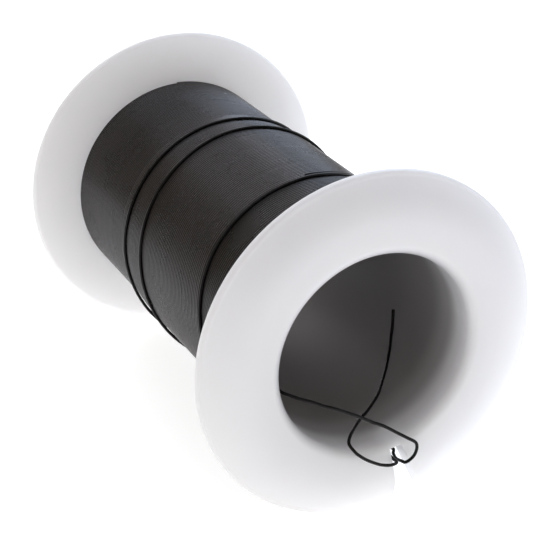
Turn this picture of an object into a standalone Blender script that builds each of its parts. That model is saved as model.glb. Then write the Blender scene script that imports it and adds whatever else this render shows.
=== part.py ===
"""A spool of fine black wire, lying on its side with its axis along Y.

The spool is one white moulding: a tube with a wide open bore and a flange at
each end. It is built as three bodies, a barrel and two flanges, so that each
one is a simple ring. One continuous wire is wound on it in three full layers
and a short top layer, and the winding sits a little off the spool's axis. The
start of the wire and its finish both come out through a slot in the near
flange and end as free tails inside the bore. The finish first comes back from
the far flange to that slot in three loose turns over the winding.

Frame: X across the spool, Y along its axis towards the far flange, Z up, with
the origin on the ground under the middle of the spool.
"""

import math

import bmesh
import bpy
from mathutils import Vector

# Driving dimensions, in metres.
FLANGE_RADIUS = 0.0190
SPOOL_LENGTH = 0.0550
FLANGE_ROOT = 0.00278
BORE_RADIUS = 0.0108
BARREL_RADIUS = 0.01225
WIRE_DIAMETER = 0.00035
FULL_LAYERS = 3
SLOT_ANGLE = 168.0
FIT_GAP = 0.0003
LAYER_GAP = 0.00005

# Shape of a flange, in metres.
RIM_SET_BACK = 0.00227
RIM_LAND = 0.0004
RIM_ROUND = 0.0004
FACE_FLAT_RADIUS = 0.0140
MOUTH_ROUND = 0.0010
SLOT_FLOOR_RADIUS = 0.0114
SLOT_LEFT = -0.00076
SLOT_RIGHT_AT_FLOOR = 0.00062
SLOT_RIGHT_AT_RIM = 0.00232

# Fineness of the meshes.
SEGMENTS = 72
POINTS_PER_TURN = 80
TAIL_POINT_SPACING = 0.0008

# A facet lies on the ground, so the axis is a facet's distance above it.
AXIS_HEIGHT = FLANGE_RADIUS * math.cos(math.pi / SEGMENTS)
OUTER_FACE = SPOOL_LENGTH / 2
INNER_FACE = OUTER_FACE - FLANGE_ROOT
RIM_PLANE = OUTER_FACE - RIM_SET_BACK
LAYER_STEP = WIRE_DIAMETER * math.cos(math.radians(30))
LOWER_RADIUS = BARREL_RADIUS + WIRE_DIAMETER + (FULL_LAYERS - 1) * LAYER_STEP
WINDING_RADIUS = LOWER_RADIUS + LAYER_STEP

# The winding has slipped sideways by this much, towards this angle.
OFF_CENTRE = 0.00013
OFF_CENTRE_ANGLE = -128.0

# The top layer is full up to the first of these and thins out to the second.
TOP_LAYER_FULL_TO = 0.0055
TOP_LAYER_END = 0.0105

# The loose turns clear the winding by this much.
LOOSE_CLEARANCE = 0.00012

# The three loose turns that bring the finish of the wire back from the far
# flange to the slot: angle in degrees from the top of the spool towards +X,
# which falls as the wire goes round, distance along Y and lift off the winding
# in millimetres. The last one lies at the foot of the top layer's edge.
RETURN_STATIONS = (
    (215.0, 24.35, 0.0),
    (180.0, 23.20, 0.0),
    (140.0, 19.60, 0.0),
    (100.0, 15.00, 0.0),
    (70.0, 12.20, 0.0),
    (39.6, 10.10, 0.0),
    (22.0, 8.95, 0.0),
    (8.0, 8.45, 0.0),
    (-13.0, 8.40, 0.0),
    (-37.0, 8.20, 0.0),
    (-60.0, 7.97, 0.0),
    (-84.0, 7.88, 0.0),
    (-107.0, 7.75, 0.0),
    (-125.5, 7.00, 0.11),
    (-150.0, 6.50, 0.08),
    (-185.0, 6.10, 0.0),
    (-240.0, 5.80, 0.0),
    (-290.0, 5.40, 0.0),
    (-320.0, 5.15, 0.0),
    (-338.0, 4.85, 0.0),
    (-352.0, 4.65, 0.0),
    (-374.0, 4.42, 0.0),
    (-397.0, 3.92, 0.0),
    (-420.5, 3.43, 0.0),
    (-443.0, 2.80, 0.0),
    (-467.0, 2.15, 0.0),
    (-485.5, 1.45, 0.04),
    (-510.0, 0.50, 0.03),
    (-545.0, -1.10, 0.0),
    (-600.0, -3.60, 0.0),
    (-640.0, -5.90, 0.0),
    (-660.0, -7.00, -0.04),
    (-670.0, -7.10, -0.20),
    (-680.0, -7.15, -0.30),
    (-695.6, -9.25, -0.30),
    (-707.6, -10.50, -0.30),
    (-718.0, -10.95, -0.30),
    (-729.3, -11.38, -0.30),
    (-741.0, -11.60, -0.30),
    (-752.5, -11.78, -0.30),
    (-764.0, -11.98, -0.30),
    (-775.5, -12.15, -0.30),
    (-787.0, -12.56, -0.30),
    (-798.0, -13.03, -0.30),
    (-809.0, -13.58, -0.30),
    (-830.0, -14.70, -0.30),
    (-850.0, -16.40, -0.30),
    (-870.0, -18.60, -0.30),
    (-890.0, -21.10, -0.30),
    (-905.0, -22.90, -0.30),
)
TURN_START = 215.0
TURNS = 3

# The edge where the top layer stops short of the near flange: angle as above
# and distance along Y in millimetres. The last loose turn lies along it.
TOP_LAYER_EDGE = (
    (30.0, -8.25),
    (24.4, -9.00),
    (12.4, -10.25),
    (2.0, -10.70),
    (-9.3, -11.13),
    (-21.0, -11.35),
    (-32.5, -11.53),
    (-44.0, -11.73),
    (-55.5, -11.90),
    (-67.0, -12.31),
    (-78.0, -12.78),
    (-89.0, -13.33),
    (-110.0, -13.95),
    (-145.0, -14.00),
    (-190.0, -13.20),
    (-240.0, -10.80),
    (-280.0, -7.60),
    (-300.0, -6.70),
    (-320.0, -6.85),
    (-330.0, -8.25),
)

# The finish tail: through the slot, once round in front of the flange and
# across the bore, where it lies along the left wall. Millimetres, X, Y and
# height from the axis.
FINISH_ROUTE = (
    (3.42, -24.66, -13.12),
    (3.28, -25.40, -13.38),
    (3.06, -26.37, -13.36),
    (2.95, -27.80, -12.89),
    (3.08, -28.18, -12.83),
    (3.50, -28.27, -12.65),
    (4.08, -28.27, -12.20),
    (4.35, -28.27, -11.54),
    (4.38, -28.18, -11.00),
    (4.12, -28.08, -10.62),
    (3.38, -28.08, -10.07),
    (2.03, -27.89, -9.10),
    (0.70, -27.70, -8.14),
    (-0.61, -27.51, -7.43),
    (-1.97, -27.41, -6.55),
    (-3.31, -27.32, -5.79),
    (-4.64, -27.23, -5.04),
    (-5.90, -27.04, -4.48),
    (-7.10, -26.75, -3.87),
    (-8.20, -26.27, -3.50),
    (-9.15, -25.61, -3.13),
    (-9.62, -24.95, -3.02),
    (-9.84, -23.60, -2.92),
    (-9.90, -21.60, -2.86),
    (-9.88, -19.40, -2.84),
    (-9.80, -17.20, -2.86),
)

# The start tail: from under the winding through the slot, round in front of
# the flange and up into the bore, where it ends in the open.
START_ROUTE = (
    (2.46, -24.95, -12.35),
    (2.30, -25.50, -12.60),
    (2.30, -26.18, -12.82),
    (2.36, -26.90, -12.92),
    (2.34, -27.70, -12.84),
    (1.95, -28.08, -12.76),
    (1.24, -28.27, -12.64),
    (0.53, -28.27, -12.44),
    (-0.19, -28.27, -12.12),
    (-1.44, -28.18, -11.36),
    (-2.22, -28.08, -10.72),
    (-2.71, -27.89, -10.22),
    (-3.11, -27.32, -9.48),
    (-2.70, -26.75, -8.95),
    (-1.80, -25.99, -8.63),
    (-0.68, -25.04, -8.45),
    (0.62, -24.09, -8.36),
    (1.95, -22.95, -8.29),
    (3.20, -21.81, -8.17),
    (4.20, -20.67, -7.97),
    (5.15, -19.53, -7.71),
    (5.98, -18.58, -7.33),
    (6.72, -17.63, -6.91),
    (7.34, -16.87, -6.34),
    (7.90, -16.11, -5.79),
    (8.36, -15.45, -5.16),
    (8.74, -14.97, -4.45),
    (9.05, -14.50, -3.71),
    (9.24, -14.21, -2.75),
)


def clear_scene():
    for old in list(bpy.data.objects):
        bpy.data.objects.remove(old, do_unlink=True)


def plastic_material():
    """Milky white polyethylene, slightly translucent."""
    material = bpy.data.materials.new("milky_white_plastic")
    material.use_nodes = True
    shader = material.node_tree.nodes["Principled BSDF"]
    shader.inputs["Base Color"].default_value = (0.86, 0.86, 0.89, 1.0)
    shader.inputs["Roughness"].default_value = 0.42
    shader.inputs["Metallic"].default_value = 0.0
    shader.inputs["Subsurface Weight"].default_value = 0.3
    return material


def wire_material():
    """Black lacquered copper wire."""
    material = bpy.data.materials.new("black_lacquered_wire")
    material.use_nodes = True
    shader = material.node_tree.nodes["Principled BSDF"]
    shader.inputs["Base Color"].default_value = (0.012, 0.012, 0.013, 1.0)
    shader.inputs["Roughness"].default_value = 0.38
    shader.inputs["Metallic"].default_value = 0.0
    return material


def around_axis(angle_degrees, along, radius):
    """A point by its angle from the top towards +X, place along Y and radius."""
    angle = math.radians(angle_degrees)
    return Vector((
        radius * math.sin(angle),
        along,
        AXIS_HEIGHT + radius * math.cos(angle),
    ))


def closed_mesh(name, vertices, faces):
    """A mesh with all its faces turned outwards."""
    mesh = bpy.data.meshes.new(name)
    mesh.from_pydata(vertices, [], faces)
    work = bmesh.new()
    work.from_mesh(mesh)
    bmesh.ops.recalc_face_normals(work, faces=work.faces)
    work.to_mesh(mesh)
    work.free()
    return mesh


def smooth_value(stations, column, angle):
    """Cubic through the stations' column, as a function of falling angle."""
    last = len(stations) - 1
    slopes = []
    for i in range(last + 1):
        before = stations[max(i - 1, 0)]
        after = stations[min(i + 1, last)]
        slopes.append((after[column] - before[column]) / (after[0] - before[0]))
    i = 0
    while i < last - 1 and stations[i + 1][0] > angle:
        i += 1
    start, end = stations[i], stations[i + 1]
    span = end[0] - start[0]
    t = (angle - start[0]) / span
    rest = 1.0 - t
    return (
        start[column] * rest * rest * (1.0 + 2.0 * t)
        + end[column] * t * t * (3.0 - 2.0 * t)
        + span * slopes[i] * t * rest * rest
        - span * slopes[i + 1] * t * t * rest
    )


def turned_ring(name, outline_at, material):
    """A ring about the axis, from its closed outline of (radius, along Y) at each angle."""
    vertices = []
    for segment in range(SEGMENTS):
        angle = 360.0 * (segment + 0.5) / SEGMENTS
        outline = outline_at(angle)
        vertices += [around_axis(angle, along, radius) for radius, along in outline]
    count = len(outline)
    faces = []
    for segment in range(SEGMENTS):
        here = segment * count
        after = (segment + 1) % SEGMENTS * count
        for i in range(count):
            j = (i + 1) % count
            faces.append((here + i, here + j, after + j, after + i))
    mesh = closed_mesh(name, vertices, faces)
    mesh.materials.append(material)
    mesh.shade_smooth()
    mesh.set_sharp_from_angle(angle=math.radians(32))
    ring = bpy.data.objects.new(name, mesh)
    bpy.context.collection.objects.link(ring)
    return ring


def quarter_round(centre_radius, centre_along, size, from_degrees, to_degrees, steps):
    """Points of an arc in the (radius, along Y) plane, 0 degrees pointing outwards."""
    points = []
    for step in range(steps + 1):
        turn = math.radians(from_degrees + (to_degrees - from_degrees) * step / steps)
        points.append((
            centre_radius + size * math.cos(turn),
            centre_along + size * math.sin(turn),
        ))
    return points


def flange_outline():
    """Half section of the far flange, from the bore over the outer face to the rim."""
    mouth_centre = BORE_RADIUS + MOUTH_ROUND
    rim_centre = FLANGE_RADIUS - RIM_ROUND
    land = RIM_LAND / 2
    dome_fall = OUTER_FACE - RIM_PLANE - land - RIM_ROUND
    outline = [(BORE_RADIUS, INNER_FACE)]
    outline += quarter_round(mouth_centre, OUTER_FACE - MOUTH_ROUND, MOUTH_ROUND, 180, 90, 4)
    outline.append((FACE_FLAT_RADIUS, OUTER_FACE))
    # The outer face falls back from its flat part to the rim in a shallow dome.
    for share in (0.35, 0.65, 0.88):
        radius = FACE_FLAT_RADIUS + share * (rim_centre - FACE_FLAT_RADIUS)
        outline.append((radius, OUTER_FACE - dome_fall * share ** 2))
    outline += quarter_round(rim_centre, RIM_PLANE + land, RIM_ROUND, 90, 0, 3)
    outline.append((FLANGE_RADIUS, RIM_PLANE - land))
    outline.append((rim_centre, INNER_FACE))
    return outline


def far_flange(material):
    outline = flange_outline()
    turned_ring("far_flange", lambda angle: outline, material)


def slot_cutter():
    """A wedge through the near flange, from its slot's floor out past the rim."""
    outward = Vector((math.sin(math.radians(SLOT_ANGLE)), 0.0,
                      math.cos(math.radians(SLOT_ANGLE))))
    across = Vector((-outward.z, 0.0, outward.x))
    rim_distance = 1.1 * FLANGE_RADIUS
    slope = (SLOT_RIGHT_AT_RIM - SLOT_RIGHT_AT_FLOOR) / (FLANGE_RADIUS - SLOT_FLOOR_RADIUS)
    right_at_end = SLOT_RIGHT_AT_FLOOR + slope * (rim_distance - SLOT_FLOOR_RADIUS)
    corners = (
        (SLOT_FLOOR_RADIUS, SLOT_LEFT),
        (SLOT_FLOOR_RADIUS, SLOT_RIGHT_AT_FLOOR),
        (rim_distance, right_at_end),
        (rim_distance, SLOT_LEFT),
    )
    axis_point = Vector((0.0, 0.0, AXIS_HEIGHT))
    vertices = []
    for along in (-OUTER_FACE - 0.002, -INNER_FACE + 0.002):
        for distance, sideways in corners:
            point = axis_point + outward * distance + across * sideways
            vertices.append((point.x, along, point.z))
    faces = [
        (0, 1, 2, 3),
        (7, 6, 5, 4),
        (1, 0, 4, 5),
        (2, 1, 5, 6),
        (3, 2, 6, 7),
        (0, 3, 7, 4),
    ]
    cutter = bpy.data.objects.new("slot_cutter", closed_mesh("slot_cutter", vertices, faces))
    cutter.hide_render = True
    cutter.display_type = "WIRE"
    bpy.context.collection.objects.link(cutter)
    return cutter


def near_flange(material):
    outline = [(radius, -along) for radius, along in flange_outline()]
    flange = turned_ring("near_flange", lambda angle: outline, material)
    slot = flange.modifiers.new("wire_slot", "BOOLEAN")
    slot.operation = "DIFFERENCE"
    slot.object = slot_cutter()


def core_barrel(material):
    end = INNER_FACE - FIT_GAP
    outline = [
        (BORE_RADIUS, -end),
        (BORE_RADIUS, end),
        (BARREL_RADIUS, end),
        (BARREL_RADIUS, -end),
    ]
    turned_ring("core_barrel", lambda angle: outline, material)


def off_centre(angle):
    """How much farther than its mean the winding's outside is from the spool's axis."""
    return OFF_CENTRE * math.cos(math.radians(angle - OFF_CENTRE_ANGLE))


def lower_layers(material):
    """The three full layers, as one ring with their true outside."""
    end = INNER_FACE - FIT_GAP
    inner = BARREL_RADIUS + LAYER_GAP

    def outline_at(angle):
        outer = LOWER_RADIUS + off_centre(angle)
        return [(inner, -end), (inner, end), (outer, end), (outer, -end)]

    turned_ring("winding_lower_layers", outline_at, material)


def top_layer(material):
    """The last layer, from its slanting edge to where it thins out."""
    def outline_at(angle):
        first = TOP_LAYER_EDGE[0][0]
        start = smooth_value(TOP_LAYER_EDGE, 1, angle if angle <= first else angle - 360.0) * 0.001
        inner = LOWER_RADIUS + LAYER_GAP + off_centre(angle)
        outer = WINDING_RADIUS + off_centre(angle)
        return [
            (inner, start),
            (inner, TOP_LAYER_END),
            (inner + LAYER_GAP, TOP_LAYER_END),
            (outer, TOP_LAYER_FULL_TO),
            (outer, start),
        ]

    turned_ring("winding_top_layer", outline_at, material)


def return_point(angle):
    """A point of the loose turns' centre line."""
    along = smooth_value(RETURN_STATIONS, 1, angle) * 0.001
    lift = smooth_value(RETURN_STATIONS, 2, angle) * 0.001
    share = (TOP_LAYER_END - along) / (TOP_LAYER_END - TOP_LAYER_FULL_TO)
    share = min(max(share, 0.0), 1.0)
    surface = LOWER_RADIUS + share * LAYER_STEP + off_centre(angle)
    return around_axis(angle, along, surface + WIRE_DIAMETER / 2 + LOOSE_CLEARANCE + lift)


def route_points(route):
    """The hand-chosen points of a route, in metres above the ground."""
    return [Vector((x, y, z)) * 0.001 + Vector((0.0, 0.0, AXIS_HEIGHT)) for x, y, z in route]


def smooth_path(points, steps=12):
    """A Catmull-Rom curve through the points, finely sampled."""
    ends = [2 * points[0] - points[1]] + points + [2 * points[-1] - points[-2]]
    path = []
    for i in range(1, len(ends) - 2):
        p0, p1, p2, p3 = ends[i - 1:i + 3]
        for step in range(steps):
            t = step / steps
            path.append(0.5 * (
                2 * p1
                + (p2 - p0) * t
                + (2 * p0 - 5 * p1 + 4 * p2 - p3) * t ** 2
                + (3 * p1 - p0 - 3 * p2 + p3) * t ** 3
            ))
    path.append(points[-1].copy())
    return path


def evenly_spaced(path, spacing):
    """Points along the path at about this spacing, both ends included."""
    lengths = [0.0]
    for a, b in zip(path, path[1:]):
        lengths.append(lengths[-1] + (b - a).length)
    count = max(2, round(lengths[-1] / spacing))
    points = []
    i = 0
    for step in range(count + 1):
        wanted = lengths[-1] * step / count
        while i < len(path) - 2 and lengths[i + 1] < wanted:
            i += 1
        share = (wanted - lengths[i]) / (lengths[i + 1] - lengths[i])
        points.append(path[i].lerp(path[i + 1], min(share, 1.0)))
    return points


def wire_tube(name, points, material):
    curve = bpy.data.curves.new(name, "CURVE")
    curve.dimensions = "3D"
    curve.bevel_depth = WIRE_DIAMETER / 2
    curve.bevel_resolution = 2
    curve.use_fill_caps = True
    spline = curve.splines.new("POLY")
    spline.points.add(len(points) - 1)
    for target, point in zip(spline.points, points):
        target.co = (*point, 1.0)
    curve.materials.append(material)
    tube = bpy.data.objects.new(name, curve)
    bpy.context.collection.objects.link(tube)
    return tube


def return_turns(material):
    """The loose turns, one tube each, with a small gap between their ends."""
    gap_degrees = math.degrees(FIT_GAP / WINDING_RADIUS)
    for turn in range(TURNS):
        first = TURN_START - 360.0 * turn
        last = first - 360.0 + gap_degrees
        points = [
            return_point(first + (last - first) * i / (POINTS_PER_TURN - 1))
            for i in range(POINTS_PER_TURN)
        ]
        wire_tube(f"return_turn_{turn + 1}", points, material)


def finish_tail(material):
    """From the end of the last loose turn to the slot, and on into the bore."""
    start = TURN_START - 360.0 * TURNS
    end = RETURN_STATIONS[-1][0]
    steps = 6
    lead = [return_point(start + (end - start) * i / steps) for i in range(steps + 1)]
    path = smooth_path(lead + route_points(FINISH_ROUTE))
    wire_tube("finish_tail", evenly_spaced(path, TAIL_POINT_SPACING), material)


def start_tail(material):
    path = smooth_path(route_points(START_ROUTE))
    wire_tube("start_tail", evenly_spaced(path, TAIL_POINT_SPACING), material)


def build():
    clear_scene()
    plastic = plastic_material()
    wire = wire_material()
    core_barrel(plastic)
    near_flange(plastic)
    far_flange(plastic)
    lower_layers(wire)
    top_layer(wire)
    return_turns(wire)
    finish_tail(wire)
    start_tail(wire)


build()
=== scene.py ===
"""The looks of a spool of fine black wire, built around its CAD model.

The spool lies on its side with its axis along Y. Its slotted flange is at -Y.
Angles round the axis are in degrees, from the top towards +X.
"""

import math

import bmesh
import bpy
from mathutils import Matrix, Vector, noise


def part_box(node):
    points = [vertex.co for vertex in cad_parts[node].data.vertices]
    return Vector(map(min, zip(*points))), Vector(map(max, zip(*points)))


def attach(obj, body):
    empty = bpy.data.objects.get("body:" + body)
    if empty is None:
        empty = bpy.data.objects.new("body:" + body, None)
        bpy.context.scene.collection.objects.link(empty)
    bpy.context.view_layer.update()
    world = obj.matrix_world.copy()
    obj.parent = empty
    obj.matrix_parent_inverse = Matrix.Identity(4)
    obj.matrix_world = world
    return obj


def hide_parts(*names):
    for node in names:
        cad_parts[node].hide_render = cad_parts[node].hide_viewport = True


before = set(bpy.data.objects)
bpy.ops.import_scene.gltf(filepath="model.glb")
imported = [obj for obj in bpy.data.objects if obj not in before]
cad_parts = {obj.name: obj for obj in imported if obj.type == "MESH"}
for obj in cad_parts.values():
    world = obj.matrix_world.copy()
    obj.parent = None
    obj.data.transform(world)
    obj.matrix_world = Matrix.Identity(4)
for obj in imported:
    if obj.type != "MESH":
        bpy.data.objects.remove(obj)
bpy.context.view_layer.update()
MM = 0.001


def node_radius(name):
    low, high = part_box(name)
    return (high[0] - low[0]) / 2


# Sizes that follow from the frame, in metres.
AXIS_HEIGHT = (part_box("far_flange")[0][2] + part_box("far_flange")[1][2]) / 2
FLANGE_RADIUS = node_radius("far_flange")
OUTER_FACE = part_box("far_flange")[1][1]
INNER_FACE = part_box("far_flange")[0][1]
BARREL_RADIUS = node_radius("core_barrel")
WINDING_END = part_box("winding_lower_layers")[1][1]

# Shape of the moulding, in metres.
BORE_RADIUS = 10.8 * MM
MOUTH_ROUND = 1.0 * MM
FACE_FLAT_RADIUS = 14.0 * MM
RIM_SET_BACK = 2.27 * MM
RIM_LAND = 0.4 * MM
RIM_ROUND = 0.4 * MM
ROOT_ROUND = 0.3 * MM
DOME_STEPS = 24
SLOT_ANGLE = 168.0
SLOT_FLOOR_RADIUS = 11.4 * MM
SLOT_LEFT = -0.76 * MM
SLOT_RIGHT_AT_FLOOR = 0.62 * MM
SLOT_RIGHT_AT_RIM = 2.32 * MM
SLOT_EDGE_ROUND = 0.12 * MM
# How far the slot's cutter stands past the flange: outside, inside and, as a
# share of the flange's radius, past the rim.
CUT_PAST_OUTSIDE = 2 * MM
CUT_PAST_INSIDE = 0.1 * MM
CUT_PAST_RIM = 1.1
SPOOL_SEGMENTS = 288
SPOOL_SHARP_ANGLE = 35.0
BEVELLED_ANGLE = 50.0

WIRE_DIAMETER = 0.35 * MM
WIRE_BEVEL_STEPS = 5
# Points that a smooth route gets for each one it is given.
CURVE_STEPS = 6
# Three full layers of turns, each layer lying in the valleys of the one below.
LAYER_STEP = WIRE_DIAMETER * math.cos(math.radians(30.0))
LOWER_RADIUS = BARREL_RADIUS + WIRE_DIAMETER + 2 * LAYER_STEP
# The top layer is full up to one place along Y, and gone at the next.
TOP_LAYER_FULL_TO = 5.5 * MM
TOP_LAYER_END = 10.5 * MM
# Its other edge slants about a mean place. Turn by turn the slant fades.
TOP_LAYER_MEAN = -11.1 * MM
TURNS_TO_STRAIGHTEN = 40.0
# From here to the slotted flange the lower layers get a darker, less glossy copy of their
# material, a painted shade for that flange's shadow.
PAINTED_SHADE_STRIP_END = -6.0 * MM
# The gap between the barrel and the winding's inside.
BARREL_GAP = 0.02 * MM
# Each turn: its steps round the axis, its points across, how round its ridge
# is, and how far it rises and strays. The rates are in waves per turn.
TURN_SEGMENTS = 120
RIDGE_RIBS = 6
RIDGE_ROUNDNESS = 0.92
RIPPLE = 0.014 * MM
RIPPLE_RATE = 1.7
STRAY = 0.10
STRAY_RATE = 0.35
LOWER_SEED = 3.0
TOP_SEED = 8.0
WINDING_SHARP_ANGLE = 50.0
# The winding has slipped sideways by this much, towards this angle.
OFF_CENTRE = 0.13 * MM
OFF_CENTRE_ANGLE = -128.0

# Camera: where it stands, where it points and how long its lens is.
CAMERA_PLACE = Vector((-0.06925, -0.14738, 0.0934))
CAMERA_HEADING = 25.70
CAMERA_DIP = 25.36
CAMERA_LENS = 102.81

# The plastic's colour, with painted shade and a painted glow. The wall of the bore darkens over
# a depth from each end. Part of this is the black wire showing through, and part is painted
# shade for the light that falls in only at its mouths. It is also painted darker from its lower
# right to its upper left, a painted shade, and the faces are painted whiter towards the plain
# end, a painted glow.
WALL_SHADE_REACH = 0.9 * MM
WALL_SHADE_BLEND = 0.8 * MM
WALL_SHADE_DEPTH = 8.0 * MM
SIDE_SHADE_SLANT = 0.8
SIDE_SHADE_HALF = 7.0 * MM
PAINTED_GLOW_FROM = -5.0 * MM
PAINTED_GLOW_OVER = 30.0 * MM

# Dust on the wire: cells per metre, a speck's radius as a share of its cell,
# and the share of cells that have no speck.
DUST_SCALE = 420.0
SPECK_SIZE = 0.07
DUST_FREE_SHARE = 0.965

# The lights: name, heading, rise, distance, size, power and colour.
LIGHTS = (
    ("back_right", 50.0, 35.0, 0.60, 0.45, 1.75, (0.66, 0.78, 1.0)),
    ("right", 100.0, 14.0, 0.60, 0.40, 0.40, (0.66, 0.80, 1.0)),
    ("back", 5.0, 14.0, 0.60, 0.45, 1.20, (1.0, 0.95, 1.0)),
    ("overhead", 0.0, 90.0, 0.60, 0.60, 0.80, (0.68, 0.77, 1.0)),
)
WORLD_COLOUR = (0.345, 0.32, 0.275)
FLOOR_GLOW = 0.74
FLOOR_SIZE = 6.0
FLOOR_DROP = 0.02 * MM

# The finish of the wire comes back over the winding in three loose turns:
# angle, distance along Y and lift off the winding in millimetres. The last
# turn lies at the foot of the top layer's edge.
RETURN_STATIONS = (
    (215.0, 24.35, 0.0),
    (180.0, 23.20, 0.0),
    (140.0, 19.60, 0.0),
    (100.0, 15.00, 0.0),
    (70.0, 12.20, 0.0),
    (39.6, 10.10, 0.0),
    (22.0, 8.95, 0.0),
    (8.0, 8.45, 0.0),
    (-13.0, 8.40, 0.0),
    (-37.0, 8.20, 0.0),
    (-60.0, 7.97, 0.0),
    (-84.0, 7.88, 0.0),
    (-107.0, 7.75, 0.0),
    (-125.5, 7.00, 0.11),
    (-150.0, 6.50, 0.08),
    (-185.0, 6.10, 0.0),
    (-240.0, 5.80, 0.0),
    (-290.0, 5.40, 0.0),
    (-320.0, 5.15, 0.0),
    (-338.0, 4.85, 0.0),
    (-352.0, 4.65, 0.0),
    (-374.0, 4.42, 0.0),
    (-397.0, 3.92, 0.0),
    (-420.5, 3.43, 0.0),
    (-443.0, 2.80, 0.0),
    (-467.0, 2.15, 0.0),
    (-485.5, 1.45, 0.04),
    (-510.0, 0.50, 0.03),
    (-545.0, -1.10, 0.0),
    (-600.0, -3.60, 0.0),
    (-640.0, -5.90, 0.0),
    (-660.0, -7.00, -0.04),
    (-670.0, -7.10, -0.20),
    (-680.0, -7.15, -0.30),
    (-695.6, -9.25, -0.30),
    (-707.6, -10.50, -0.30),
    (-718.0, -10.95, -0.30),
    (-729.3, -11.38, -0.30),
    (-741.0, -11.60, -0.30),
    (-752.5, -11.78, -0.30),
    (-764.0, -11.98, -0.30),
    (-775.5, -12.15, -0.30),
    (-787.0, -12.56, -0.30),
    (-798.0, -13.03, -0.30),
    (-809.0, -13.58, -0.30),
    (-830.0, -14.70, -0.30),
    (-850.0, -16.40, -0.30),
    (-870.0, -18.60, -0.30),
    (-890.0, -21.10, -0.30),
    (-905.0, -22.90, -0.30),
)

# The slanting edge where the top layer stops: angle, and distance along Y in
# millimetres.
TOP_LAYER_EDGE = (
    (30.0, -8.25),
    (24.4, -9.00),
    (12.4, -10.25),
    (2.0, -10.70),
    (-9.3, -11.13),
    (-21.0, -11.35),
    (-32.5, -11.53),
    (-44.0, -11.73),
    (-55.5, -11.90),
    (-67.0, -12.31),
    (-78.0, -12.78),
    (-89.0, -13.33),
    (-110.0, -13.95),
    (-145.0, -14.00),
    (-190.0, -13.20),
    (-240.0, -10.80),
    (-280.0, -7.60),
    (-300.0, -6.70),
    (-320.0, -6.85),
    (-330.0, -8.25),
)

# The finish goes from the slot round in front of the flange and across the
# bore: X, Y and height from the axis, in millimetres.
FINISH_ROUTE = (
    (3.42, -24.66, -13.12),
    (3.28, -25.40, -13.38),
    (3.06, -26.37, -13.36),
    (2.95, -27.80, -12.89),
    (3.08, -28.18, -12.83),
    (3.50, -28.27, -12.65),
    (4.08, -28.27, -12.20),
    (4.35, -28.27, -11.54),
    (4.38, -28.18, -11.00),
    (4.12, -28.08, -10.62),
    (3.38, -28.08, -10.07),
    (2.03, -27.89, -9.10),
    (0.70, -27.70, -8.14),
    (-0.61, -27.51, -7.43),
    (-1.97, -27.41, -6.55),
    (-3.31, -27.32, -5.79),
    (-4.64, -27.23, -5.04),
    (-5.90, -27.04, -4.48),
    (-7.10, -26.75, -3.87),
    (-8.20, -26.27, -3.50),
    (-9.15, -25.61, -3.13),
    (-9.62, -24.95, -3.02),
    (-9.84, -23.60, -2.92),
    (-9.90, -21.60, -2.86),
    (-9.88, -19.40, -2.84),
    (-9.80, -17.20, -2.86),
)

# The start of the wire, from the slot to its free end in the bore.
START_ROUTE = (
    (2.46, -24.95, -12.35),
    (2.30, -25.50, -12.60),
    (2.30, -26.18, -12.82),
    (2.36, -26.90, -12.92),
    (2.34, -27.70, -12.84),
    (1.95, -28.08, -12.76),
    (1.24, -28.27, -12.64),
    (0.53, -28.27, -12.44),
    (-0.19, -28.27, -12.12),
    (-1.44, -28.18, -11.36),
    (-2.22, -28.08, -10.72),
    (-2.71, -27.89, -10.22),
    (-3.11, -27.32, -9.48),
    (-2.70, -26.75, -8.95),
    (-1.80, -25.99, -8.63),
    (-0.68, -25.04, -8.45),
    (0.62, -24.09, -8.36),
    (1.95, -22.95, -8.29),
    (3.20, -21.81, -8.17),
    (4.20, -20.67, -7.97),
    (5.15, -19.53, -7.71),
    (5.98, -18.58, -7.33),
    (6.72, -17.63, -6.91),
    (7.34, -16.87, -6.34),
    (7.90, -16.11, -5.79),
    (8.36, -15.45, -5.16),
    (8.74, -14.97, -4.45),
    (9.05, -14.50, -3.71),
    (9.24, -14.21, -2.75),
)


# ---------------------------------------------------------------- camera

def make_camera():
    data = bpy.data.cameras.new("camera")
    data.lens = CAMERA_LENS
    data.sensor_width = 36.0
    data.clip_start = 0.01
    data.clip_end = 20.0
    camera = bpy.data.objects.new("camera", data)
    camera.location = CAMERA_PLACE
    camera.rotation_euler = (
        math.radians(90.0 - CAMERA_DIP),
        0.0,
        math.radians(-CAMERA_HEADING),
    )
    bpy.context.collection.objects.link(camera)
    bpy.context.scene.camera = camera


# ------------------------------------------------------------- materials

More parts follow.
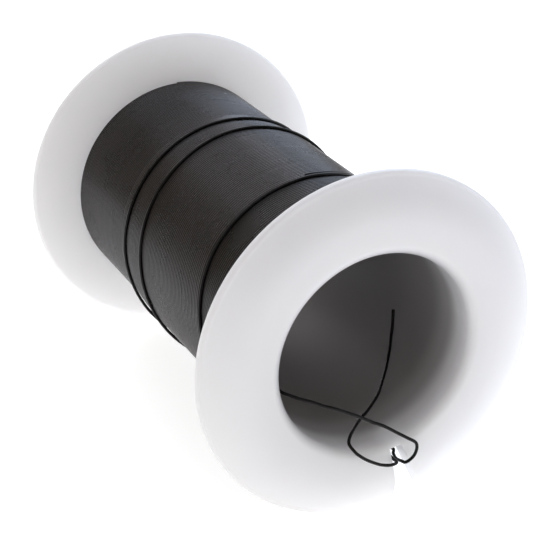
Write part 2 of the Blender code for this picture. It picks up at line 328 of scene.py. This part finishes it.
class Nodes:
    """A material's node tree, with short calls to add and join its nodes."""

    def __init__(self, name):
        self.material = bpy.data.materials.new(name)
        self.material.use_nodes = True
        self.tree = self.material.node_tree
        self.shader = self.tree.nodes["Principled BSDF"]

    def add(self, kind, **settings):
        node = self.tree.nodes.new(kind)
        for key, value in settings.items():
            setattr(node, key, value)
        return node

    def join(self, source, target):
        self.tree.links.new(source, target)

    def maths(self, operation, first, second=None, clamp=False):
        node = self.add("ShaderNodeMath", operation=operation, use_clamp=clamp)
        for socket, value in zip(node.inputs, (first, second)):
            if value is None:
                continue
            if isinstance(value, (int, float)):
                socket.default_value = value
            else:
                self.join(value, socket)
        return node.outputs[0]

    def ramp(self, factor, stops, interpolation="LINEAR"):
        node = self.add("ShaderNodeValToRGB")
        node.color_ramp.interpolation = interpolation
        elements = node.color_ramp.elements
        elements[0].position = stops[0][0]
        elements[-1].position = stops[-1][0]
        for place, colour in stops[1:-1]:
            elements.new(place)
        for element, (place, colour) in zip(elements, stops):
            element.color = (*colour, 1.0)
        self.join(factor, node.inputs["Fac"])
        return node.outputs["Color"]

    def noise(self, coordinates, scale, detail=3.0, roughness=0.5):
        node = self.add("ShaderNodeTexNoise")
        node.inputs["Scale"].default_value = scale
        node.inputs["Detail"].default_value = detail
        node.inputs["Roughness"].default_value = roughness
        self.join(coordinates, node.inputs["Vector"])
        return node.outputs["Fac"]

    def bump(self, height, strength, distance):
        node = self.add("ShaderNodeBump")
        node.inputs["Strength"].default_value = strength
        node.inputs["Distance"].default_value = distance
        self.join(height, node.inputs["Height"])
        self.join(node.outputs["Normal"], self.shader.inputs["Normal"])

    def object_place(self):
        return self.add("ShaderNodeTexCoord").outputs["Object"]

    def parts_of(self, vector):
        node = self.add("ShaderNodeSeparateXYZ")
        self.join(vector, node.inputs[0])
        return node.outputs


def mix_colours(nodes, factor, first, second, blend="MIX"):
    node = nodes.add("ShaderNodeMix", data_type="RGBA", blend_type=blend)
    sockets = (node.inputs[0], node.inputs[6], node.inputs[7])
    for socket, value in zip(sockets, (factor, first, second)):
        if isinstance(value, (int, float)):
            socket.default_value = value
        elif isinstance(value, tuple):
            socket.default_value = (*value, 1.0)
        else:
            nodes.join(value, socket)
    return node.outputs[2]


def plastic_material():
    """Milky plastic. The wall of the bore is darker, partly where the black wire shows through
    it and partly by painted shade, and the plain end has a painted glow.
    """
    nodes = Nodes("milky_plastic")
    shader = nodes.shader
    place = nodes.object_place()
    x, y, z = nodes.parts_of(place)
    height = nodes.maths("SUBTRACT", z, AXIS_HEIGHT)
    radius = nodes.maths("SQRT", nodes.maths(
        "ADD", nodes.maths("MULTIPLY", x, x), nodes.maths("MULTIPLY", height, height)
    ))
    # 1 on the wall of the bore, 0 on the faces of the flanges.
    within_reach = nodes.maths("SUBTRACT", BORE_RADIUS + WALL_SHADE_REACH, radius)
    on_wall = nodes.maths("DIVIDE", within_reach, WALL_SHADE_BLEND, clamp=True)
    from_end = nodes.maths("SUBTRACT", OUTER_FACE, nodes.maths("ABSOLUTE", y))
    behind = nodes.maths("DIVIDE", from_end, WALL_SHADE_DEPTH, clamp=True)
    # Painted shade: the wall is painted darker the deeper it lies from either end. The black
    # wire showing through the milky wall is part of this; the light falling in only at the
    # mouths is painted.
    shade = nodes.ramp(behind, (
        (0.10, (0.80, 0.80, 0.82)),
        (0.30, (0.72, 0.72, 0.73)),
        (0.60, (0.42, 0.415, 0.42)),
        (1.00, (0.29, 0.28, 0.285)),
    ), "EASE")
    # Painted shade: the wall is painted darkest high on its left side, where the light that
    # falls in reaches least.
    side = nodes.maths("SUBTRACT", height, nodes.maths("MULTIPLY", x, SIDE_SHADE_SLANT))
    side = nodes.maths("ADD", side, SIDE_SHADE_HALF)
    turned = nodes.maths("DIVIDE", side, 2 * SIDE_SHADE_HALF, clamp=True)
    shade = mix_colours(nodes, 1.0, shade, nodes.ramp(turned, (
        (0.0, (1.0, 1.0, 1.0)),
        (1.0, (0.55, 0.54, 0.55)),
    )), "MULTIPLY")
    cloud = nodes.noise(place, 60.0, 3.0)
    white = nodes.ramp(cloud, ((0.35, (0.84, 0.84, 0.88)), (0.65, (0.87, 0.87, 0.90))))
    # Painted glow: the faces are painted whiter towards the plain end, for the light that comes
    # through that flange from behind.
    past_start = nodes.maths("SUBTRACT", y, PAINTED_GLOW_FROM)
    painted_glow_share = nodes.maths("DIVIDE", past_start, PAINTED_GLOW_OVER, clamp=True)
    white = mix_colours(nodes, painted_glow_share, white, (0.95, 0.955, 0.96))
    nodes.join(mix_colours(nodes, on_wall, white, shade), shader.inputs["Base Color"])
    shader.inputs["Subsurface Weight"].default_value = 0.9
    shader.inputs["Subsurface Radius"].default_value = (1.0, 0.95, 0.97)
    shader.inputs["Subsurface Scale"].default_value = 4.0 * MM
    roughness = nodes.maths("ADD", nodes.maths("MULTIPLY", cloud, 0.12), 0.36)
    nodes.join(roughness, shader.inputs["Roughness"])
    grain = nodes.noise(place, 900.0, 4.0)
    nodes.bump(grain, 0.08, 0.05 * MM)
    return nodes.material


def wire_material(name, tint, gloss, dusty=False):
    """Black lacquer, slightly uneven. Dusty wire also has a few pale specks."""
    nodes = Nodes(name)
    shader = nodes.shader
    place = nodes.object_place()
    patches = nodes.noise(place, 220.0, 4.0)
    dark = tuple(0.7 * value for value in tint)
    light = tuple(1.4 * value for value in tint)
    colour = nodes.ramp(patches, ((0.3, dark), (0.7, light)))
    roughness = nodes.maths("ADD", nodes.maths("MULTIPLY", patches, 0.10), 0.23)
    if dusty:
        grains = nodes.add("ShaderNodeTexVoronoi")
        grains.inputs["Scale"].default_value = DUST_SCALE
        nodes.join(place, grains.inputs["Vector"])
        near_grain = nodes.maths("LESS_THAN", grains.outputs["Distance"], SPECK_SIZE)
        chance = nodes.parts_of(grains.outputs["Color"])[0]
        settled = nodes.maths("GREATER_THAN", chance, DUST_FREE_SHARE)
        speck = nodes.maths("MULTIPLY", near_grain, settled)
        colour = mix_colours(nodes, speck, colour, (0.35, 0.35, 0.34))
        roughness = nodes.maths("ADD", roughness, nodes.maths("MULTIPLY", speck, 0.5))
    nodes.join(colour, shader.inputs["Base Color"])
    nodes.join(roughness, shader.inputs["Roughness"])
    shader.inputs["Specular IOR Level"].default_value = gloss
    return nodes.material


# -------------------------------------------------------------- the cords

def around_axis(angle_degrees, along, radius):
    angle = math.radians(angle_degrees)
    return Vector((
        radius * math.sin(angle),
        along,
        AXIS_HEIGHT + radius * math.cos(angle),
    ))


def smooth_value(stations, column, angle):
    """Cubic through the stations' column, as a function of falling angle."""
    last = len(stations) - 1
    slopes = []
    for i in range(last + 1):
        before = stations[max(i - 1, 0)]
        after = stations[min(i + 1, last)]
        slopes.append((after[column] - before[column]) / (after[0] - before[0]))
    i = 0
    while i < last - 1 and stations[i + 1][0] > angle:
        i += 1
    start, end = stations[i], stations[i + 1]
    span = end[0] - start[0]
    t = (angle - start[0]) / span
    rest = 1.0 - t
    return (
        start[column] * rest * rest * (1.0 + 2.0 * t)
        + end[column] * t * t * (3.0 - 2.0 * t)
        + span * slopes[i] * t * rest * rest
        - span * slopes[i + 1] * t * t * rest
    )


def off_centre(angle):
    """How much farther than its mean the winding's outside is from the axis."""
    return OFF_CENTRE * math.cos(math.radians(angle - OFF_CENTRE_ANGLE))


def top_layer_share(along):
    """1 where the top layer is full, falling to 0 where it has thinned out."""
    share = (TOP_LAYER_END - along) / (TOP_LAYER_END - TOP_LAYER_FULL_TO)
    share = min(max(share, 0.0), 1.0)
    return share * share * (3.0 - 2.0 * share)


def return_path(step=3.0):
    """The loose turns, lying on the winding wherever they don't stand off it."""
    first = RETURN_STATIONS[0][0]
    last = RETURN_STATIONS[-1][0]
    count = round((first - last) / step)
    points = []
    for i in range(count + 1):
        angle = first + (last - first) * i / count
        along = smooth_value(RETURN_STATIONS, 1, angle) * MM
        lift = smooth_value(RETURN_STATIONS, 2, angle) * MM
        surface = LOWER_RADIUS + LAYER_STEP * top_layer_share(along) + off_centre(angle)
        points.append(around_axis(angle, along, surface + WIRE_DIAMETER / 2 + lift))
    return points


def route_points(route):
    return [Vector(point) * MM + Vector((0.0, 0.0, AXIS_HEIGHT)) for point in route]


def smooth_path(points, steps=CURVE_STEPS):
    """A Catmull-Rom curve through the points, finely sampled."""
    ends = [2 * points[0] - points[1]] + points + [2 * points[-1] - points[-2]]
    path = []
    for i in range(1, len(ends) - 2):
        p0, p1, p2, p3 = ends[i - 1:i + 3]
        for step in range(steps):
            t = step / steps
            path.append(0.5 * (
                2 * p1
                + (p2 - p0) * t
                + (2 * p0 - 5 * p1 + 4 * p2 - p3) * t ** 2
                + (3 * p1 - p0 - 3 * p2 + p3) * t ** 3
            ))
    path.append(points[-1].copy())
    return path


def wire_curve(name, points, material):
    curve = bpy.data.curves.new(name, "CURVE")
    curve.dimensions = "3D"
    curve.bevel_depth = WIRE_DIAMETER / 2
    curve.bevel_resolution = WIRE_BEVEL_STEPS
    curve.use_fill_caps = True
    spline = curve.splines.new("POLY")
    spline.points.add(len(points) - 1)
    for target, point in zip(spline.points, points):
        target.co = (*point, 1.0)
    spline.use_smooth = True
    curve.materials.append(material)
    wire = bpy.data.objects.new(name, curve)
    bpy.context.collection.objects.link(wire)
    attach(wire, "root")
    return wire


def finish_wire(material):
    """The loose turns and the tail, joined smoothly through the last of the turns' points."""
    turns = return_path()
    shared = turns[-4:]
    tail = smooth_path(shared + route_points(FINISH_ROUTE))
    repeated = CURVE_STEPS * (len(shared) - 1) + 1
    path = turns + tail[repeated:]
    wire = wire_curve("finish_wire", path, material)
    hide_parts("return_turn_1", "return_turn_2", "return_turn_3", "finish_tail")


def start_wire(material):
    path = smooth_path(route_points(START_ROUTE))
    wire = wire_curve("start_wire", path, material)
    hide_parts("start_tail")


# ------------------------------------------------------------ the winding

def slant_of_edge(angle):
    """How far the top layer's edge is from its mean place, at an angle on any turn."""
    first = TOP_LAYER_EDGE[0][0]
    turned = first - (first - angle) % 360.0
    return smooth_value(TOP_LAYER_EDGE, 1, turned) * MM - TOP_LAYER_MEAN


def winding_mesh(name, inner, outer_at, start, end, seed, slanted):
    """Touching turns as one closed helical skin, each turn's outside a half round.

    Point (s, p) is step s along the wire and place p across it. Place p = ribs
    is place 0 of the same angle one turn later, so neighbours share a valley.
    A slanted winding starts along the slanting edge, and straightens turn by turn.
    """
    segments, ribs = TURN_SEGMENTS, RIDGE_RIBS
    turns = round((end - start) / WIRE_DIAMETER) - 1
    pitch = (end - start) / (turns + 1)
    steps = turns * segments
    vertices = []

    def strayed(s):
        return noise.noise(Vector((s / segments * STRAY_RATE, seed, 0.0)))

    def rippled(s):
        return noise.noise(Vector((s / segments * RIPPLE_RATE, seed, 5.0)))

    def place_across(s, share):
        place = start + pitch * (s / segments + share) + STRAY * pitch * strayed(s)
        if slanted:
            fade = math.exp(-(s / segments + share) / TURNS_TO_STRAIGHTEN)
            place += fade * slant_of_edge(-360.0 * s / segments)
        return place

    for s in range(steps + segments + 1):
        angle = -360.0 * s / segments
        ripple = RIPPLE * rippled(s)
        count = ribs if s <= steps else 1
        for p in range(count):
            share = p / ribs
            across = (share - 0.5) * 2.0
            rise = math.sqrt(1.0 - across * across * RIDGE_ROUNDNESS) * WIRE_DIAMETER / 2
            along = place_across(s, share)
            crown = outer_at(along) + off_centre(angle) - WIRE_DIAMETER / 2
            vertices.append(around_axis(angle, along, crown + rise + ripple))
    outside_count = len(vertices)
    for s in range(steps + segments + 1):
        angle = -360.0 * s / segments
        vertices.append(around_axis(angle, place_across(s, 0.0), inner))

    def outside(s, p):
        if p == ribs:
            return outside(s + segments, 0)
        if s <= steps:
            return s * ribs + p
        return (steps + 1) * ribs + (s - steps - 1)

    def inside(s):
        return outside_count + s

    faces = []
    for s in range(steps):
        for p in range(ribs):
            faces.append((
                outside(s, p),
                outside(s, p + 1),
                outside(s + 1, p + 1),
                outside(s + 1, p),
            ))
        faces.append((inside(s), inside(s + 1), inside(s + segments + 1), inside(s + segments)))
    for s in range(segments):
        faces.append((outside(s, 0), outside(s + 1, 0), inside(s + 1), inside(s)))
        late = steps + s
        faces.append((outside(late, 0), inside(late), inside(late + 1), outside(late + 1, 0)))
    first_end = [outside(0, p) for p in range(ribs, -1, -1)]
    faces.append((*first_end, inside(0), inside(segments)))
    last_end = [outside(steps, p) for p in range(ribs + 1)]
    faces.append((*last_end, inside(steps + segments), inside(steps)))
    mesh = bpy.data.meshes.new(name)
    mesh.from_pydata(vertices, [], faces)
    make_outward(mesh)
    mesh.shade_smooth()
    mesh.set_sharp_from_angle(angle=math.radians(WINDING_SHARP_ANGLE))
    return mesh


def winding(name, node, mesh, *materials):
    for material in materials:
        mesh.materials.append(material)
    piece = bpy.data.objects.new(name, mesh)
    bpy.context.collection.objects.link(piece)
    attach(piece, "root")
    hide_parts(node)


def lower_winding(material, shaded):
    """The full layers. Their bare strip by the slotted flange gets the darker, less glossy
    copy, a painted shade for that flange's shadow.
    """
    mesh = winding_mesh("lower_winding", BARREL_RADIUS + BARREL_GAP, lambda along: LOWER_RADIUS,
                        -WINDING_END, WINDING_END, LOWER_SEED, False)
    for face in mesh.polygons:
        face.material_index = 1 if face.center.y < PAINTED_SHADE_STRIP_END else 0
    winding("lower_winding", "winding_lower_layers", mesh, material, shaded)


def top_winding(material):
    """The top layer, whose far end sinks between the turns below it."""
    mesh = winding_mesh("top_winding", LOWER_RADIUS - WIRE_DIAMETER,
                        lambda along: LOWER_RADIUS + LAYER_STEP * top_layer_share(along),
                        TOP_LAYER_MEAN, TOP_LAYER_END, TOP_SEED, True)
    winding("top_winding", "winding_top_layer", mesh, material)


# -------------------------------------------------------------- the spool

def arc(centre_radius, centre_along, size, from_degrees, to_degrees, steps):
    points = []
    for step in range(steps + 1):
        turn = math.radians(from_degrees + (to_degrees - from_degrees) * step / steps)
        points.append((
            centre_radius + size * math.cos(turn),
            centre_along + size * math.sin(turn),
        ))
    return points


def half_outline():
    """Half section at the plain end, from the bore's middle to the barrel's."""
    rim_centre = FLANGE_RADIUS - RIM_ROUND
    rim_plane = OUTER_FACE - RIM_SET_BACK
    land = RIM_LAND / 2
    dome_fall = RIM_SET_BACK - land - RIM_ROUND
    mouth = OUTER_FACE - MOUTH_ROUND
    outline = [(BORE_RADIUS, share * mouth) for share in (0.0, 0.3, 0.6, 0.85)]
    outline += arc(BORE_RADIUS + MOUTH_ROUND, mouth, MOUTH_ROUND, 180, 90, 10)
    for step in range(DOME_STEPS + 1):
        share = step / DOME_STEPS
        radius = FACE_FLAT_RADIUS + share * (rim_centre - FACE_FLAT_RADIUS)
        outline.append((radius, OUTER_FACE - dome_fall * share ** 2))
    outline += arc(rim_centre, rim_plane + land, RIM_ROUND, 78, 0, 8)
    outline.append((FLANGE_RADIUS, rim_plane - land))
    outline += arc(rim_centre, INNER_FACE + ROOT_ROUND, ROOT_ROUND, -20, -90, 4)
    outline.append((BARREL_RADIUS + ROOT_ROUND, INNER_FACE))
    outline.append((BARREL_RADIUS, INNER_FACE - ROOT_ROUND))
    outline += [(BARREL_RADIUS, share * INNER_FACE) for share in (0.6, 0.3, 0.0)]
    return outline


def spool_piece(material):
    half = half_outline()
    mirrored = [(radius, -along) for radius, along in reversed(half[1:-1])]
    outline = half + mirrored
    vertices = []
    for segment in range(SPOOL_SEGMENTS):
        angle = 360.0 * (segment + 0.5) / SPOOL_SEGMENTS
        vertices += [around_axis(angle, along, radius) for radius, along in outline]
    count = len(outline)
    faces = []
    for segment in range(SPOOL_SEGMENTS):
        here = segment * count
        after = (segment + 1) % SPOOL_SEGMENTS * count
        for i in range(count):
            j = (i + 1) % count
            faces.append((here + i, here + j, after + j, after + i))
    mesh = bpy.data.meshes.new("spool")
    mesh.from_pydata(vertices, [], faces)
    make_outward(mesh)
    mesh.materials.append(material)
    mesh.shade_smooth()
    spool = bpy.data.objects.new("spool", mesh)
    bpy.context.collection.objects.link(spool)
    cut = spool.modifiers.new("wire_slot", "BOOLEAN")
    cut.operation = "DIFFERENCE"
    cut.object = slot_cutter()
    soften = spool.modifiers.new("slot_edges", "BEVEL")
    soften.width = SLOT_EDGE_ROUND
    soften.segments = 2
    soften.limit_method = "ANGLE"
    soften.angle_limit = math.radians(BEVELLED_ANGLE)
    apply_modifiers(spool)
    spool.data.shade_smooth()
    spool.data.set_sharp_from_angle(angle=math.radians(SPOOL_SHARP_ANGLE))
    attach(spool, "root")
    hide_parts("core_barrel", "near_flange", "far_flange")


def make_outward(mesh):
    """Turns every face of a closed mesh outward."""
    work = bmesh.new()
    work.from_mesh(mesh)
    bmesh.ops.recalc_face_normals(work, faces=work.faces)
    work.to_mesh(mesh)
    work.free()


def apply_modifiers(piece):
    """Gives the piece its evaluated mesh, and removes what only shaped it."""
    helpers = [m.object for m in piece.modifiers if m.type == "BOOLEAN"]
    graph = bpy.context.evaluated_depsgraph_get()
    mesh = bpy.data.meshes.new_from_object(piece.evaluated_get(graph))
    piece.modifiers.clear()
    piece.data = mesh
    for helper in helpers:
        bpy.data.objects.remove(helper)


def slot_cutter():
    """A wedge through the slotted flange, open at its rim."""
    angle = math.radians(SLOT_ANGLE)
    outward = Vector((math.sin(angle), 0.0, math.cos(angle)))
    across = Vector((-outward.z, 0.0, outward.x))
    rim_distance = CUT_PAST_RIM * FLANGE_RADIUS
    slope = (SLOT_RIGHT_AT_RIM - SLOT_RIGHT_AT_FLOOR) / (FLANGE_RADIUS - SLOT_FLOOR_RADIUS)
    right_at_end = SLOT_RIGHT_AT_FLOOR + slope * (rim_distance - SLOT_FLOOR_RADIUS)
    corners = (
        (SLOT_FLOOR_RADIUS, SLOT_LEFT),
        (SLOT_FLOOR_RADIUS, SLOT_RIGHT_AT_FLOOR),
        (rim_distance, right_at_end),
        (rim_distance, SLOT_LEFT),
    )
    vertices = []
    for along in (-OUTER_FACE - CUT_PAST_OUTSIDE, -INNER_FACE + CUT_PAST_INSIDE):
        for distance, sideways in corners:
            point = outward * distance + across * sideways
            vertices.append((point.x, along, AXIS_HEIGHT + point.z))
    faces = [
        (0, 1, 2, 3),
        (7, 6, 5, 4),
        (1, 0, 4, 5),
        (2, 1, 5, 6),
        (3, 2, 6, 7),
        (0, 3, 7, 4),
    ]
    mesh = bpy.data.meshes.new("slot_cutter")
    mesh.from_pydata(vertices, [], faces)
    make_outward(mesh)
    cutter = bpy.data.objects.new("slot_cutter", mesh)
    bpy.context.collection.objects.link(cutter)
    return cutter


# -------------------------------------------------------------- the stage

def make_stage():
    """A sheet of white paper that glows round the spool, so its shadow stays faint."""
    bpy.ops.mesh.primitive_plane_add(size=FLOOR_SIZE, location=(0.0, 0.0, -FLOOR_DROP))
    floor = bpy.context.object
    floor.name = "floor"
    nodes = Nodes("white_paper")
    place = nodes.object_place()
    cloud = nodes.noise(place, 3.0)
    paper = nodes.ramp(cloud, ((0.3, (0.90, 0.90, 0.90)), (0.7, (0.93, 0.93, 0.93))))
    nodes.join(paper, nodes.shader.inputs["Base Color"])
    nodes.shader.inputs["Roughness"].default_value = 0.7
    x, y = nodes.parts_of(place)[:2]
    distance = nodes.maths("SQRT", nodes.maths(
        "ADD", nodes.maths("MULTIPLY", x, x), nodes.maths("MULTIPLY", y, y)
    ))
    lit = nodes.ramp(distance, ((0.28, (1.0, 1.0, 1.0)), (0.50, (0.35, 0.35, 0.35))), "EASE")
    nodes.join(lit, nodes.shader.inputs["Emission Color"])
    nodes.shader.inputs["Emission Strength"].default_value = FLOOR_GLOW
    floor.data.materials.append(nodes.material)


def soft_light(name, heading, rise, distance, size, power, colour):
    """A square softbox, aimed at the spool. Its heading is in degrees from +Y towards +X."""
    turn, lift = math.radians(heading), math.radians(rise)
    aim = Vector((0.0, 0.0, AXIS_HEIGHT))
    level = math.cos(lift)
    away = Vector((math.sin(turn) * level, math.cos(turn) * level, math.sin(lift)))
    data = bpy.data.lights.new(name, "AREA")
    data.shape = "SQUARE"
    data.size = size
    data.energy = power
    data.color = colour
    light = bpy.data.objects.new(name, data)
    light.location = aim + distance * away
    light.rotation_euler = away.to_track_quat("Z", "Y").to_euler()
    bpy.context.collection.objects.link(light)


def make_lights():
    world = bpy.data.worlds.new("white_room")
    world.use_nodes = True
    background = world.node_tree.nodes["Background"]
    background.inputs["Color"].default_value = (*WORLD_COLOUR, 1.0)
    bpy.context.scene.world = world
    bpy.context.scene.view_settings.view_transform = "Standard"
    for light in LIGHTS:
        soft_light(*light)


def main():
    """The camera and the cords come first, then the other pieces, the stage and the lights."""
    make_camera()
    wire = wire_material("black_wire", (0.004, 0.0035, 0.0035), 0.2)
    finish_wire(wire)
    start_wire(wire)
    wound = wire_material("wound_wire", (0.012, 0.0085, 0.0085), 0.5, dusty=True)
    # A darker, less glossy copy of the wound wire, a painted shade for the strip by the slotted
    # flange.
    painted_shade_wound = wire_material("wound_wire_painted_shade", (0.008, 0.006, 0.0055), 0.45, dusty=True)
    lower_winding(wound, painted_shade_wound)
    top_winding(wound)
    spool_piece(plastic_material())
    make_stage()
    make_lights()


main()
